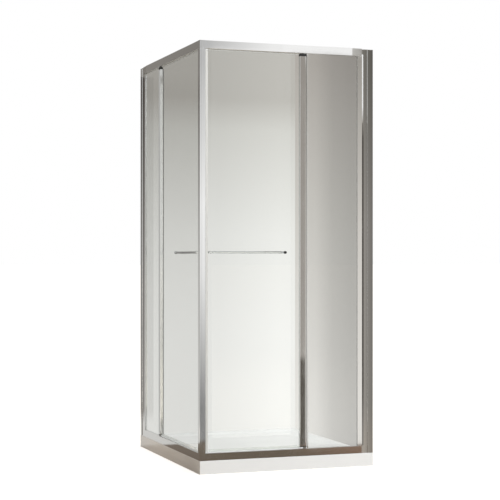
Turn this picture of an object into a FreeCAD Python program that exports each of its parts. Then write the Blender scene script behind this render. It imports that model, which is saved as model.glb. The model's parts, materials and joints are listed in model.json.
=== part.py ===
import FreeCAD, Part
import os

# Corner shower enclosure with two pivot doors, in millimetres.
# Origin at the centre of the tray's underside, +Z up. The front faces -Y and the glazed side faces -X.
# Each glazed face is drawn in its own run: s along the face from the near corner,
# d inwards from the outer plane, z up. The side is the front's run mirrored about the corner's diagonal.

V = FreeCAD.Vector

# Overall sizes
FRONT_LENGTH = 900.0
SIDE_LENGTH = 1080.0
TRAY_HEIGHT = 65.0
FRAME_HEIGHT = 2000.0

# Tray and waste
TRAY_RIM = 52.0
RECESS_DEPTH = 5.0
RECESS_CORNER = 80.0
RECESS_FALL = 60.0
TRAY_EDGE = 2.0
WASTE_INSET = 230.0
WASTE_POCKET_R = 62.0
WASTE_POCKET_DEPTH = 15.0
WASTE_HOLE_R = 45.0
WASTE_PLAY = 0.3
SLEEVE_R = 40.0
SLEEVE_LENGTH = 30.0
FLANGE_R = 57.0
FLANGE_T = 3.0
COVER_R = 55.0
COVER_T = 4.0
COVER_EDGE = 1.5
FOOT_R = 4.0
FOOT_HEIGHT = 3.0
FOOT_CIRCLE_R = 49.0
FEET = 3

# Aluminium profiles
PROFILE_DEPTH = 28.0
PROFILE_WALL = 2.0
PROFILE_EDGE = 0.8
TOP_RAIL_HEIGHT = 38.0
BOTTOM_RAIL_HEIGHT = 36.0
GROOVE_HEIGHT = 14.0
GROOVE_COVER_T = 3.0
POST_LINE_AT = 9.0
POST_LINE_WIDTH = 1.4
POST_LINE_DEPTH = 0.8
POST_EDGE = 1.2
POST_PLUG_T = 4.0

# Rail joints
BRACKET_LENGTH = 30.0
BRACKET_PLAY = 0.2
RAIL_END_LENGTH = 52.0
RAIL_END_STEP = 0.8
TONGUE_LENGTH = 24.0
SCREW_R = 2.0
SCREW_PLAY = 0.2
SCREW_BITE = 10.0
HEAD_R = 4.0
HEAD_HEIGHT = 2.4

# Wall side
CHANNEL_WIDTH = 31.0
CHANNEL_ROUND = 4.0
EXPANDER_SHOW = 29.0
EXPANDER_NEST = 19.0
EXPANDER_PLAY = 0.3
POST_DROP = 4.0
POST_CAP_T = 3.0
WALL_HOLE_R = 2.75
WALL_HOLE_MARGIN = 150.0
WALL_HOLES = 3
POST_SCREW_MARGIN = 250.0
POST_SCREWS = 3
BEAD_WIDTH = 22.0
BEAD_LIP = 1.2
BEAD_BASE = 4.0
BEAD_FACE_INSET = 0.5

# Glass and its seats
GLASS_T = 6.0
GLASS_SETBACK = 8.0
GASKET_T = 2.0
PANE_END_PLAY = 1.0
PANE_TOP_PLAY = 2.0
EDGE_WIDTH = 6.0
EDGE_WEB = 1.5

# Doors
FRONT_PIVOT = 539.0
SIDE_PIVOT = 716.5
STILE_WIDTH = 38.0
STILE_DEPTH = 20.0
STILE_EDGE = 1.5
STILE_POCKET = 8.0
TOP_CAP_T = 12.0
BOTTOM_CAP_T = 4.0
STILE_TOP_GAP = 3.0
STILE_BOTTOM_GAP = 7.0
HINGE_GAP = 1.4
DOOR_GAP = 6.0
PIN_R = 3.0
PIN_GRIP = 40.0
PIN_END_PLAY = 0.5
PIN_RUNNING_PLAY = 0.05
SHOULDER_R = 8.0
SHOULDER_PLAY = 0.4
BLOCK_LENGTH = 22.0
POST_MAGNET_T = 3.5
POST_MAGNET_WIDTH = 8.0
MAGNET_GAP = 0.5
MAGNET_NOSE = 4.0
MAGNET_GRIP = 6.0
SWEEP_CLEARANCE = 2.0
SWEEP_HEIGHT = 14.0
SWEEP_WALL = 1.5
SWEEP_END_PLAY = 0.5

# Handle bars
HANDLE_HEIGHT = 1056.5
HANDLE_REACH = 40.0
BAR_R = 6.0
BAR_EDGE = 1.5
FRONT_BAR_START = 44.0
SIDE_BAR_START = 90.0
BAR_END = 451.0
HANDLE_POST_INSET = 13.0
HANDLE_POST_R = 5.5
HANDLE_FOOT_R = 7.0
HANDLE_FOOT_T = 4.0
PAD_T = 1.0
GLASS_HOLE_R = 4.5
STUD_R = 3.0
STUD_BITE = 12.0
HANDLE_CAP_R = 6.5
HANDLE_CAP_T = 1.5
HANDLE_CAP_EDGE = 0.7

# Levels and planes that follow from the sizes
TRAY_FLOOR = TRAY_HEIGHT - RECESS_DEPTH
WASTE_SEAT = TRAY_FLOOR - WASTE_POCKET_DEPTH
TOP = TRAY_HEIGHT + FRAME_HEIGHT
RAIL_UNDERSIDE = TOP - TOP_RAIL_HEIGHT
SILL_TOP = TRAY_HEIGHT + BOTTOM_RAIL_HEIGHT
GROOVE_ROOF = RAIL_UNDERSIDE + GROOVE_HEIGHT
GROOVE_FLOOR = SILL_TOP - GROOVE_HEIGHT
GLASS_OUT = GLASS_SETBACK
GLASS_IN = GLASS_SETBACK + GLASS_T
GLASS_MID = GLASS_SETBACK + GLASS_T / 2
GROOVE_OUT = GLASS_OUT - GASKET_T
GROOVE_IN = GLASS_IN + GASKET_T
DOOR_BOTTOM = SILL_TOP + DOOR_GAP
DOOR_TOP = RAIL_UNDERSIDE - DOOR_GAP
CAP_BOTTOM = SILL_TOP + STILE_BOTTOM_GAP
CAP_TOP = RAIL_UNDERSIDE - STILE_TOP_GAP
STILE_BOTTOM = CAP_BOTTOM + BOTTOM_CAP_T
STILE_TOP = CAP_TOP - TOP_CAP_T
STILE_NOSE_R = STILE_DEPTH / 2
STILE_TAIL = STILE_WIDTH - STILE_NOSE_R
DOOR_EDGE = PROFILE_DEPTH + POST_MAGNET_T + MAGNET_GAP
DOOR_GLASS_START = DOOR_EDGE + MAGNET_NOSE
WALL_POST_WIDTH = CHANNEL_WIDTH + EXPANDER_SHOW
WALL_POST_TOP = TOP - POST_DROP - POST_CAP_T
BAR_DEPTH = GLASS_IN + HANDLE_REACH
TOP_CHAMBER = (GROOVE_ROOF + PROFILE_WALL, TOP - PROFILE_WALL)
BOTTOM_CHAMBER = (TRAY_HEIGHT + PROFILE_WALL, GROOVE_FLOOR - PROFILE_WALL)
CUT_OVER = 1.0
CORNER = V(-FRONT_LENGTH / 2, -SIDE_LENGTH / 2, 0)


def box(s0, s1, d0, d1, z0, z1):
    return Part.makeBox(s1 - s0, d1 - d0, z1 - z0, V(s0, d0, z0))


def upright(s, d, z0, z1, radius):
    return Part.makeCylinder(radius, z1 - z0, V(s, d, z0), V(0, 0, 1))


def across(s, z, d0, d1, radius):
    return Part.makeCylinder(radius, d1 - d0, V(s, d0, z), V(0, 1, 0))


def along(d, z, s0, s1, radius):
    return Part.makeCylinder(radius, s1 - s0, V(s0, d, z), V(1, 0, 0))


def prism(points, z0, z1):
    corners = [V(s, d, z0) for s, d in points]
    face = Part.Face(Part.makePolygon(corners + corners[:1]))
    return face.extrude(V(0, 0, z1 - z0))


def spread(low, high, count):
    return [low + (high - low) * index / (count - 1) for index in range(count)]


def glass_channel(s0, s1, grip_from, z0, z1):
    """A channel as wide as the groove that grips a vertical glass edge."""
    body = box(s0, s1, GROOVE_OUT, GROOVE_IN, z0, z1)
    return body.cut(box(grip_from, s1 + CUT_OVER, GLASS_OUT, GLASS_IN, z0 - CUT_OVER, z1 + CUT_OVER))


def on_front(shape):
    return shape.translated(CORNER)


def on_side(shape):
    return shape.mirror(V(0, 0, 0), V(1, -1, 0)).translated(CORNER)


def on_tray(shape):
    return shape


def save(name, solids, place):
    placed = [place(solid) for solid in solids]
    shape = placed[0] if len(placed) == 1 else Part.makeCompound(placed)
    count = len(shape.Solids)
    if not shape.isValid() or count != len(solids):
        raise ValueError(name + " holds " + str(count) + " solids where " + str(len(solids)) + " are drawn")
    shape.exportStep("parts/" + name + ".step")
    print(name, count, round(shape.Volume / 1000, 2), "cm3")


# Tray and waste

def waste_place():
    return FRONT_LENGTH / 2 - WASTE_INSET, WASTE_INSET - SIDE_LENGTH / 2


def recess_outline(inset, z):
    """A level rectangle with round corners, inset from the tray's sides."""
    start = CORNER + V(inset, inset, z)
    slab = Part.makeBox(FRONT_LENGTH - 2 * inset, SIDE_LENGTH - 2 * inset, CUT_OVER, start)
    uprights = [edge for edge in slab.Edges if edge.BoundBox.ZLength > CUT_OVER / 2]
    slab = slab.makeFillet(RECESS_CORNER + TRAY_RIM - inset, uprights)
    return [face for face in slab.Faces if face.BoundBox.ZMax < z + CUT_OVER / 2][0].OuterWire


def tray_recess():
    """The space above the tray's floor, which falls gently from the rim."""
    floor = recess_outline(TRAY_RIM + RECESS_FALL, TRAY_FLOOR)
    return Part.makeLoft([floor, recess_outline(TRAY_RIM, TRAY_HEIGHT)], True, True)


def shower_tray():
    body = Part.makeBox(FRONT_LENGTH, SIDE_LENGTH, TRAY_HEIGHT, CORNER)
    body = body.makeFillet(TRAY_EDGE, [edge for edge in body.Edges if edge.BoundBox.ZMax > TRAY_HEIGHT / 2])
    body = body.cut(tray_recess())
    x, y = waste_place()
    body = body.cut(upright(x, y, WASTE_SEAT, TRAY_HEIGHT, WASTE_POCKET_R))
    return body.cut(upright(x, y, -CUT_OVER, TRAY_HEIGHT, WASTE_HOLE_R))


def waste_flange():
    x, y = waste_place()
    low, high = WASTE_SEAT - SLEEVE_LENGTH, WASTE_SEAT + FLANGE_T
    ring = upright(x, y, WASTE_SEAT, high, FLANGE_R)
    sleeve = upright(x, y, low, WASTE_SEAT, WASTE_HOLE_R - WASTE_PLAY)
    bore = upright(x, y, low - CUT_OVER, high + CUT_OVER, SLEEVE_R)
    return ring.fuse(sleeve).removeSplitter().cut(bore)


def waste_cover():
    x, y = waste_place()
    seat = WASTE_SEAT + FLANGE_T
    under = seat + FOOT_HEIGHT
    disc = upright(x, y, under, under + COVER_T, COVER_R)
    rim = [edge for edge in disc.Edges if edge.Closed and edge.CenterOfMass.z > under + COVER_T / 2]
    cover = disc.makeFillet(COVER_EDGE, rim[:1])
    foot = upright(x + FOOT_CIRCLE_R, y, seat, under, FOOT_R)
    for index in range(FEET):
        turned = foot.copy()
        turned.rotate(V(x, y, 0), V(0, 0, 1), 360 * index / FEET)
        cover = cover.fuse(turned)
    return cover.removeSplitter()


# Corner post

def corner_post():
    post = box(0, PROFILE_DEPTH, 0, PROFILE_DEPTH, TRAY_HEIGHT, TOP)
    tall = [edge for edge in post.Edges if edge.BoundBox.ZLength > PROFILE_DEPTH]
    outer = [edge for edge in tall if edge.CenterOfMass.x + edge.CenterOfMass.y < PROFILE_DEPTH / 2]
    post = post.makeFillet(POST_EDGE, outer)
    inner = PROFILE_DEPTH - PROFILE_WALL
    post = post.cut(box(PROFILE_WALL, inner, PROFILE_WALL, inner, TRAY_HEIGHT - CUT_OVER, TOP + CUT_OVER))
    left = POST_LINE_AT - POST_LINE_WIDTH / 2
    right = POST_LINE_AT + POST_LINE_WIDTH / 2
    line = prism([(left, 0), (POST_LINE_AT, POST_LINE_DEPTH), (right, 0)], TRAY_HEIGHT, TOP)
    return post.cut(line).cut(line.mirror(V(0, 0, 0), V(1, -1, 0)))


def corner_post_plug():
    inner = PROFILE_DEPTH - PROFILE_WALL
    return box(PROFILE_WALL, inner, PROFILE_WALL, inner, TOP - POST_PLUG_T, TOP)


def post_magnet():
    half = POST_MAGNET_WIDTH / 2
    reach = PROFILE_DEPTH + POST_MAGNET_T
    return box(PROFILE_DEPTH, reach, GLASS_MID - half, GLASS_MID + half, SILL_TOP, RAIL_UNDERSIDE)


# Rails

def rail_stop(length):
    return length - WALL_POST_WIDTH


def end_piece_start(length):
    return rail_stop(length) - RAIL_END_LENGTH


def top_screws_at(length):
    return [PROFILE_DEPTH + BRACKET_LENGTH / 2, end_piece_start(length) - TONGUE_LENGTH / 2]


def bottom_screws_at(length):
    return [PROFILE_DEPTH + BRACKET_LENGTH / 2, rail_stop(length) - BRACKET_LENGTH / 2]


def middle(chamber):
    return (chamber[0] + chamber[1]) / 2


def round_long_edges(bar):
    """Rounds the four edges that run along a straight bar."""
    return bar.makeFillet(PROFILE_EDGE, [edge for edge in bar.Edges if edge.BoundBox.XLength > PROFILE_EDGE])


def hollow_rail(end, z0, z1, chamber, groove, screws_at):
    rail = round_long_edges(box(PROFILE_DEPTH, end, 0, PROFILE_DEPTH, z0, z1))
    start, stop = PROFILE_DEPTH - CUT_OVER, end + CUT_OVER
    rail = rail.cut(box(start, stop, PROFILE_WALL, PROFILE_DEPTH - PROFILE_WALL, chamber[0], chamber[1]))
    rail = rail.cut(box(start, stop, GROOVE_OUT, GROOVE_IN, groove[0], groove[1]))
    web = PROFILE_DEPTH - PROFILE_WALL - CUT_OVER
    for s in screws_at:
        rail = rail.cut(across(s, middle(chamber), web, PROFILE_DEPTH + CUT_OVER, SCREW_R + SCREW_PLAY))
    return rail


def top_rail(length):
    groove = (RAIL_UNDERSIDE - CUT_OVER, GROOVE_ROOF)
    end = end_piece_start(length)
    return hollow_rail(end, RAIL_UNDERSIDE, TOP, TOP_CHAMBER, groove, top_screws_at(length))


def bottom_rail(length):
    groove = (GROOVE_FLOOR, SILL_TOP + CUT_OVER)
    end = rail_stop(length)
    return hollow_rail(end, TRAY_HEIGHT, SILL_TOP, BOTTOM_CHAMBER, groove, bottom_screws_at(length))


def chamber_block(s0, s1, chamber, screw_s):
    """A block that slides into a rail's chamber and takes one screw from the inside of the room."""
    near = PROFILE_WALL + BRACKET_PLAY
    far = PROFILE_DEPTH - PROFILE_WALL - BRACKET_PLAY
    block = box(s0, s1, near, far, chamber[0] + BRACKET_PLAY, chamber[1] - BRACKET_PLAY)
    return block.cut(across(screw_s, middle(chamber), far - SCREW_BITE, far + CUT_OVER, SCREW_R))


def rail_end_piece(length):
    start = end_piece_start(length)
    body = box(start, rail_stop(length), RAIL_END_STEP, PROFILE_DEPTH, RAIL_UNDERSIDE, TOP - RAIL_END_STEP)
    body = round_long_edges(body)
    before, past, below = start - CUT_OVER, rail_stop(length) + CUT_OVER, RAIL_UNDERSIDE - CUT_OVER
    body = body.cut(box(before, past, GROOVE_OUT, GROOVE_IN, below, GROOVE_ROOF))
    tongue = chamber_block(start - TONGUE_LENGTH, start, TOP_CHAMBER, top_screws_at(length)[1])
    return body.fuse(tongue).removeSplitter()


def rail_brackets(length):
    corner = (PROFILE_DEPTH, PROFILE_DEPTH + BRACKET_LENGTH)
    wall = (rail_stop(length) - BRACKET_LENGTH, rail_stop(length))
    corner_screw, wall_screw = bottom_screws_at(length)
    return [
        chamber_block(corner[0], corner[1], TOP_CHAMBER, corner_screw),
        chamber_block(corner[0], corner[1], BOTTOM_CHAMBER, corner_screw),
        chamber_block(wall[0], wall[1], BOTTOM_CHAMBER, wall_screw),
    ]


def pan_screw(s, z, seat, bite):
    """A pan-head screw driven outwards from an inner face at depth seat."""
    shank = across(s, z, seat - bite, seat, SCREW_R)
    head = across(s, z, seat, seat + HEAD_HEIGHT, HEAD_R)
    crown = [edge for edge in head.Edges if edge.CenterOfMass.y > seat + HEAD_HEIGHT / 2 and edge.Closed]
    return head.makeFillet(HEAD_HEIGHT / 2, crown[:1]).fuse(shank).removeSplitter()


def rail_screws(length):
    bite = PROFILE_WALL + BRACKET_PLAY + SCREW_BITE
    tops = [pan_screw(s, middle(TOP_CHAMBER), PROFILE_DEPTH, bite) for s in top_screws_at(length)]
    bottoms = [pan_screw(s, middle(BOTTOM_CHAMBER), PROFILE_DEPTH, bite) for s in bottom_screws_at(length)]
    return tops + bottoms


def groove_covers(pivot):
    end = pivot - BLOCK_LENGTH / 2
    top = box(PROFILE_DEPTH, end, GROOVE_OUT, GROOVE_IN, RAIL_UNDERSIDE, RAIL_UNDERSIDE + GROOVE_COVER_T)
    bottom = box(PROFILE_DEPTH, end, GROOVE_OUT, GROOVE_IN, SILL_TOP - GROOVE_COVER_T, SILL_TOP)
    return [top, bottom]


# Wall posts

def post_screw_heights():
    return spread(TRAY_HEIGHT + POST_SCREW_MARGIN, WALL_POST_TOP - POST_SCREW_MARGIN, POST_SCREWS)


def post_screw_s(length):
    return length - CHANNEL_WIDTH + EXPANDER_NEST / 2


def round_upright_edges(profile, s, radius):
    """Rounds a straight profile's upright edges that stand at s."""
    uprights = [edge for edge in profile.Edges if edge.BoundBox.ZLength > CUT_OVER]
    at_s = [edge for edge in uprights if abs(edge.CenterOfMass.x - s) < PROFILE_EDGE / 2]
    return profile.makeFillet(radius, at_s)


def wall_channel(length):
    start = length - CHANNEL_WIDTH
    far = PROFILE_DEPTH - PROFILE_WALL
    channel = box(start, length, 0, PROFILE_DEPTH, TRAY_HEIGHT, WALL_POST_TOP)
    channel = round_upright_edges(channel, start, PROFILE_EDGE)
    channel = round_upright_edges(channel, length, CHANNEL_ROUND)
    floor, roof = TRAY_HEIGHT - CUT_OVER, WALL_POST_TOP + CUT_OVER
    channel = channel.cut(box(start - CUT_OVER, length - PROFILE_WALL, PROFILE_WALL, far, floor, roof))
    for z in spread(TRAY_HEIGHT + WALL_HOLE_MARGIN, WALL_POST_TOP - WALL_HOLE_MARGIN, WALL_HOLES):
        base = length - PROFILE_WALL - CUT_OVER
        channel = channel.cut(along(PROFILE_DEPTH / 2, z, base, length + CUT_OVER, WALL_HOLE_R))
    for z in post_screw_heights():
        hole = across(post_screw_s(length), z, far - CUT_OVER, PROFILE_DEPTH + CUT_OVER, SCREW_R + SCREW_PLAY)
        channel = channel.cut(hole)
    return channel


def wall_post(length):
    """The expander that slides out of the wall channel to take up an uneven wall."""
    start = rail_stop(length)
    end = length - CHANNEL_WIDTH + EXPANDER_NEST
    near = PROFILE_WALL + EXPANDER_PLAY
    far = PROFILE_DEPTH - near
    post = round_upright_edges(box(start, end, near, far, TRAY_HEIGHT, WALL_POST_TOP), start, PROFILE_EDGE)
    inside = (near + PROFILE_WALL, far - PROFILE_WALL)
    floor, roof = TRAY_HEIGHT - CUT_OVER, WALL_POST_TOP + CUT_OVER
    post = post.cut(box(start + PROFILE_WALL, end + CUT_OVER, inside[0], inside[1], floor, roof))
    for z in post_screw_heights():
        post = post.cut(across(post_screw_s(length), z, inside[1] - CUT_OVER, far + CUT_OVER, SCREW_R))
    return post


def wall_post_cap(length):
    cap = box(rail_stop(length), length, 0, PROFILE_DEPTH, WALL_POST_TOP, WALL_POST_TOP + POST_CAP_T)
    return round_upright_edges(cap, length, CHANNEL_ROUND)


def post_screws(length):
    bite = 2 * PROFILE_WALL + EXPANDER_PLAY
    return [pan_screw(post_screw_s(length), z, PROFILE_DEPTH, bite) for z in post_screw_heights()]


def glazing_bead(length):
    """The sloping bead between the wall post and the in-line pane."""
    wide = rail_stop(length)
    thin = wide - BEAD_WIDTH
    inner_face = GROOVE_IN + GROOVE_OUT - BEAD_FACE_INSET
    outline = [
        (thin, GROOVE_OUT - BEAD_LIP),
        (wide, BEAD_FACE_INSET),
        (wide, inner_face),
        (thin, GROOVE_IN + BEAD_LIP),
    ]
    bead = prism(outline, SILL_TOP, RAIL_UNDERSIDE)
    floor, roof = SILL_TOP - CUT_OVER, RAIL_UNDERSIDE + CUT_OVER
    return bead.cut(box(thin - CUT_OVER, wide - BEAD_BASE, GROOVE_OUT, GROOVE_IN, floor, roof))


# In-line panes

def pane_edge_start(pivot):
    return pivot + STILE_NOSE_R + HINGE_GAP


def inline_pane(length, pivot):
    start = pane_edge_start(pivot) + EDGE_WEB
    end = rail_stop(length) - BEAD_BASE - PANE_END_PLAY
    return box(start, end, GLASS_OUT, GLASS_IN, GROOVE_FLOOR, GROOVE_ROOF - PANE_TOP_PLAY)


def pane_edge(pivot):
    start = pane_edge_start(pivot)
    return glass_channel(start, start + EDGE_WIDTH, start + EDGE_WEB, SILL_TOP, RAIL_UNDERSIDE)


def glazing_gaskets(length, pivot):
    start = pane_edge_start(pivot) + EDGE_WEB
    wall = rail_stop(length)
    strips = []
    for near, far in [(GROOVE_OUT, GLASS_OUT), (GLASS_IN, GROOVE_IN)]:
        strips.append(box(start, wall, near, far, RAIL_UNDERSIDE, GROOVE_ROOF))
        strips.append(box(start, wall, near, far, GROOVE_FLOOR, SILL_TOP))
        strips.append(box(wall - BEAD_WIDTH, wall - BEAD_BASE, near, far, SILL_TOP, RAIL_UNDERSIDE))
    return strips


def pivot_blocks(pivot):
    start, end = pivot - BLOCK_LENGTH / 2, pivot + BLOCK_LENGTH / 2
    blocks = []
    for low, high in [(GROOVE_FLOOR, SILL_TOP), (RAIL_UNDERSIDE, GROOVE_ROOF)]:
        block = box(start, end, GROOVE_OUT, GROOVE_IN, low, high)
        hole = upright(pivot, GLASS_MID, low - CUT_OVER, high + CUT_OVER, PIN_R + PIN_RUNNING_PLAY)
        blocks.append(block.cut(hole))
    return blocks


# Doors

def stile_section(pivot, z0, z1):
    """The pivot stile's section: flat tail round the glass edge, round nose about the pivot axis."""
    tail = pivot - STILE_TAIL
    near, far = GLASS_MID - STILE_NOSE_R, GLASS_MID + STILE_NOSE_R
    nose = Part.Arc(V(pivot, near, z0), V(pivot + STILE_NOSE_R, GLASS_MID, z0), V(pivot, far, z0))
    edges = [
        Part.LineSegment(V(tail, near, z0), V(pivot, near, z0)).toShape(),
        nose.toShape(),
        Part.LineSegment(V(pivot, far, z0), V(tail, far, z0)).toShape(),
        Part.LineSegment(V(tail, far, z0), V(tail, near, z0)).toShape(),
    ]
    body = Part.Face(Part.Wire(edges)).extrude(V(0, 0, z1 - z0))
    tail_edges = [edge for edge in body.Edges if edge.BoundBox.XMax < tail + CUT_OVER]
    body = body.makeFillet(STILE_EDGE, [edge for edge in tail_edges if edge.BoundBox.YLength < CUT_OVER])
    floor, roof = z0 - CUT_OVER, z1 + CUT_OVER
    body = body.cut(box(tail - CUT_OVER, tail + STILE_POCKET, GLASS_OUT, GLASS_IN, floor, roof))
    return body.cut(upright(pivot, GLASS_MID, floor, roof, PIN_R))


def pivot_stile(pivot):
    return stile_section(pivot, STILE_BOTTOM, STILE_TOP)


def stile_caps(pivot):
    return [stile_section(pivot, CAP_BOTTOM, STILE_BOTTOM), stile_section(pivot, STILE_TOP, CAP_TOP)]


def pivot_pins(pivot):
    lower = upright(pivot, GLASS_MID, GROOVE_FLOOR + PIN_END_PLAY, STILE_BOTTOM + PIN_GRIP, PIN_R)
    lower = lower.fuse(upright(pivot, GLASS_MID, SILL_TOP + SHOULDER_PLAY, CAP_BOTTOM, SHOULDER_R))
    upper = upright(pivot, GLASS_MID, STILE_TOP - PIN_GRIP, GROOVE_ROOF - PIN_END_PLAY, PIN_R)
    upper = upper.fuse(upright(pivot, GLASS_MID, CAP_TOP, RAIL_UNDERSIDE - SHOULDER_PLAY, SHOULDER_R))
    return [lower.removeSplitter(), upper.removeSplitter()]


def near_post_s(bar):
    return bar[0] + HANDLE_POST_INSET


def far_post_s(bar):
    return bar[1] - HANDLE_POST_INSET


def door_glass(pivot, bar):
    end = pivot - STILE_TAIL + STILE_POCKET
    glass = box(DOOR_GLASS_START, end, GLASS_OUT, GLASS_IN, DOOR_BOTTOM, DOOR_TOP)
    hole = across(far_post_s(bar), HANDLE_HEIGHT, GLASS_OUT - CUT_OVER, GLASS_IN + CUT_OVER, GLASS_HOLE_R)
    return glass.cut(hole)


def door_magnet():
    return glass_channel(DOOR_EDGE, DOOR_GLASS_START + MAGNET_GRIP, DOOR_GLASS_START, DOOR_BOTTOM, DOOR_TOP)


def door_sweep(pivot):
    start = DOOR_GLASS_START + MAGNET_GRIP + SWEEP_END_PLAY
    end = pivot - STILE_TAIL - SWEEP_END_PLAY
    low = SILL_TOP + SWEEP_CLEARANCE
    sweep = box(start, end, GLASS_OUT - SWEEP_WALL, GLASS_IN + SWEEP_WALL, low, low + SWEEP_HEIGHT)
    slot = box(start - CUT_OVER, end + CUT_OVER, GLASS_OUT, GLASS_IN, DOOR_BOTTOM, DOOR_TOP)
    return sweep.cut(slot)


# Handle bars

def bar_rod(bar):
    return along(BAR_DEPTH, HANDLE_HEIGHT, bar[0], bar[1], BAR_R)


def handle_bar(bar):
    rod = bar_rod(bar)
    rims = [edge for edge in rod.Edges if edge.Closed and edge.BoundBox.XLength < BAR_R]
    return rod.makeFillet(BAR_EDGE, rims)


def handle_post(s, bar):
    seat = GLASS_IN + PAD_T
    foot = across(s, HANDLE_HEIGHT, seat, seat + HANDLE_FOOT_T, HANDLE_FOOT_R)
    post = foot.fuse(across(s, HANDLE_HEIGHT, seat, BAR_DEPTH, HANDLE_POST_R)).removeSplitter()
    return post.cut(bar_rod(bar))


def handle_posts(bar):
    seat = GLASS_IN + PAD_T
    thread = across(far_post_s(bar), HANDLE_HEIGHT, seat - CUT_OVER, seat + STUD_BITE, STUD_R)
    return [handle_post(near_post_s(bar), bar), handle_post(far_post_s(bar), bar).cut(thread)]


def handle_cap(bar):
    s = far_post_s(bar)
    seat = GLASS_OUT - PAD_T
    disc = across(s, HANDLE_HEIGHT, seat - HANDLE_CAP_T, seat, HANDLE_CAP_R)
    face = [edge for edge in disc.Edges if edge.CenterOfMass.y < seat - HANDLE_CAP_T / 2 and edge.Closed]
    stud = across(s, HANDLE_HEIGHT, seat, GLASS_IN + PAD_T + STUD_BITE, STUD_R)
    return disc.makeFillet(HANDLE_CAP_EDGE, face[:1]).fuse(stud).removeSplitter()


def handle_washers(bar):
    """The washers and the sleeve that keep the stud and the far foot off the glass."""
    s = far_post_s(bar)
    inner = across(s, HANDLE_HEIGHT, GLASS_IN, GLASS_IN + PAD_T, HANDLE_FOOT_R)
    outer = across(s, HANDLE_HEIGHT, GLASS_OUT - PAD_T, GLASS_OUT, HANDLE_CAP_R)
    sleeve = across(s, HANDLE_HEIGHT, GLASS_OUT, GLASS_IN, GLASS_HOLE_R)
    stud = across(s, HANDLE_HEIGHT, GLASS_OUT - PAD_T, GLASS_IN + PAD_T, STUD_R)
    return [inner.cut(stud), outer.fuse(sleeve).removeSplitter().cut(stud)]


def handle_pad(bar):
    """The clear pad that bonds the near foot to the glass."""
    return across(near_post_s(bar), HANDLE_HEIGHT, GLASS_IN, GLASS_IN + PAD_T, HANDLE_FOOT_R)


def save_frame(face, length, pivot, place):
    save(face + "_wall_channel", [wall_channel(length)], place)
    save(face + "_wall_post", [wall_post(length)], place)
    save(face + "_wall_post_cap", [wall_post_cap(length)], place)
    save(face + "_post_screws", post_screws(length), place)
    save(face + "_glazing_bead", [glazing_bead(length)], place)
    save(face + "_top_rail", [top_rail(length)], place)
    save(face + "_bottom_rail", [bottom_rail(length)], place)
    save(face + "_rail_end_piece", [rail_end_piece(length)], place)
    save(face + "_rail_brackets", rail_brackets(length), place)
    save(face + "_rail_screws", rail_screws(length), place)
    save(face + "_groove_covers", groove_covers(pivot), place)
    save(face + "_inline_pane", [inline_pane(length, pivot)], place)
    save(face + "_pane_edge", [pane_edge(pivot)], place)
    save(face + "_glazing_gaskets", glazing_gaskets(length, pivot), place)
    save(face + "_pivot_blocks", pivot_blocks(pivot), place)
    save(face + "_post_magnet", [post_magnet()], place)


def save_door(face, pivot, bar, place):
    save(face + "_door_glass", [door_glass(pivot, bar)], place)
    save(face + "_pivot_stile", [pivot_stile(pivot)], place)
    save(face + "_stile_caps", stile_caps(pivot), place)
    save(face + "_pivot_pins", pivot_pins(pivot), place)
    save(face + "_door_magnet", [door_magnet()], place)
    save(face + "_door_sweep", [door_sweep(pivot)], place)
    save(face + "_handle_bar", [handle_bar(bar)], place)
    save(face + "_handle_posts", handle_posts(bar), place)
    save(face + "_handle_fixing", [handle_cap(bar)] + handle_washers(bar), place)
    save(face + "_handle_pad", [handle_pad(bar)], place)


def main():
    os.makedirs("parts", exist_ok=True)
    save("shower_tray", [shower_tray()], on_tray)
    save("waste_flange", [waste_flange()], on_tray)
    save("waste_cover", [waste_cover()], on_tray)
    save("corner_post", [corner_post()], on_front)
    save("corner_post_plug", [corner_post_plug()], on_front)
    faces = [
        ("front", FRONT_LENGTH, FRONT_PIVOT, (FRONT_BAR_START, BAR_END), on_front),
        ("side", SIDE_LENGTH, SIDE_PIVOT, (SIDE_BAR_START, BAR_END), on_side),
    ]
    for face, length, pivot, bar, place in faces:
        save_frame(face, length, pivot, place)
        save_door(face, pivot, bar, place)


main()
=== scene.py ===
# %% [markdown]
# # A corner shower enclosure
#
# The enclosure is made to be fitted into a corner: a low white tray, a frame of polished aluminium
# profiles, and on each of its two open faces a pivot door beside a fixed pane. The construction is
# already modelled at its real size, so this lesson starts from those parts, gives each one its finish,
# and adds the small details that are easier to model here. Every part stays where the construction puts
# it.

# %% Load the construction
import json
import math

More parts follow.
